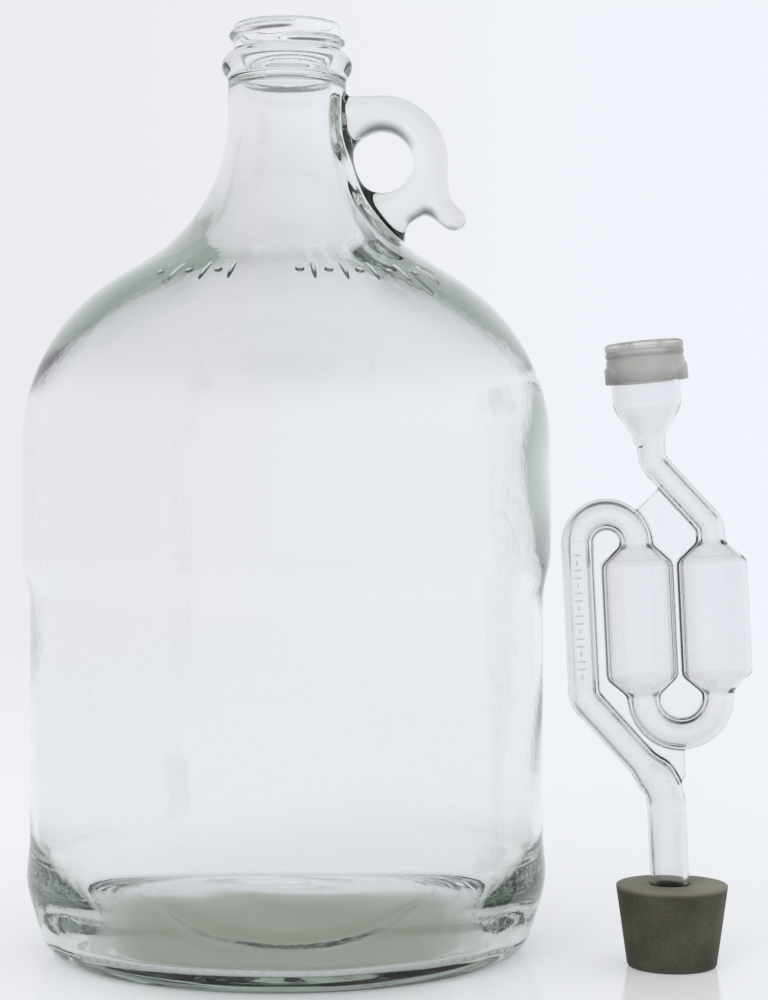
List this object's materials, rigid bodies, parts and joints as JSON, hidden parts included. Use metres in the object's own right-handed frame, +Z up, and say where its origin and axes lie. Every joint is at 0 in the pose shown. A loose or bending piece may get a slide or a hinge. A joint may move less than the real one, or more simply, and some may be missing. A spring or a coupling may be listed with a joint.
{
  "type": "fermentation jar with airlock",
  "caption": "Clear glass gallon jug with finger loop and threaded mouth, beside a clear twin-bubble airlock with a snap cap standing in its one-hole rubber stopper.",
  "frame": {"origin": "middle of the whole row's footprint, on the plane that the jug and the stopper stand on", "axes": "+Z up along the jug's axis, +X from the jug towards the stopper, -Y towards the viewer"},
  "size_m": [0.2262, 0.167, 0.292],
  "materials": {
    "clear_glass": "fire-polished clear glass with a faint green-grey tint, moulded seams and soft ripple",
    "stopper_rubber": "matte dark olive-grey moulded rubber with a fine speckle",
    "clear_styrene": "clear moulded styrene, glossy, two welded halves",
    "cap_plastic": "translucent milky polyethylene, satin"
  },
  "bodies": {
    "jug": {"glass_jug": "clear_glass"},
    "stopper": {"rubber_stopper": "stopper_rubber"},
    "airlock": {"airlock_front": "clear_styrene", "airlock_rear": "clear_styrene"},
    "cap": {"airlock_cap": "cap_plastic"}
  },
  "joints": [
    {"name": "stopper_lift", "type": "slide", "parent": "jug", "child": "stopper", "axis": [0, 0, 1], "range_m": [0, 0.3]},
    {"name": "airlock_turn", "type": "hinge", "parent": "stopper", "child": "airlock", "pos_m": [0.0887, -0.0314, 0.0125], "axis": [-0.0488, 0, 0.9988], "continuous": true},
    {"name": "cap_pull", "type": "slide", "parent": "airlock", "child": "cap", "axis": [-0.0488, 0, 0.9988], "range_m": [0, 0.03]}
  ]
}
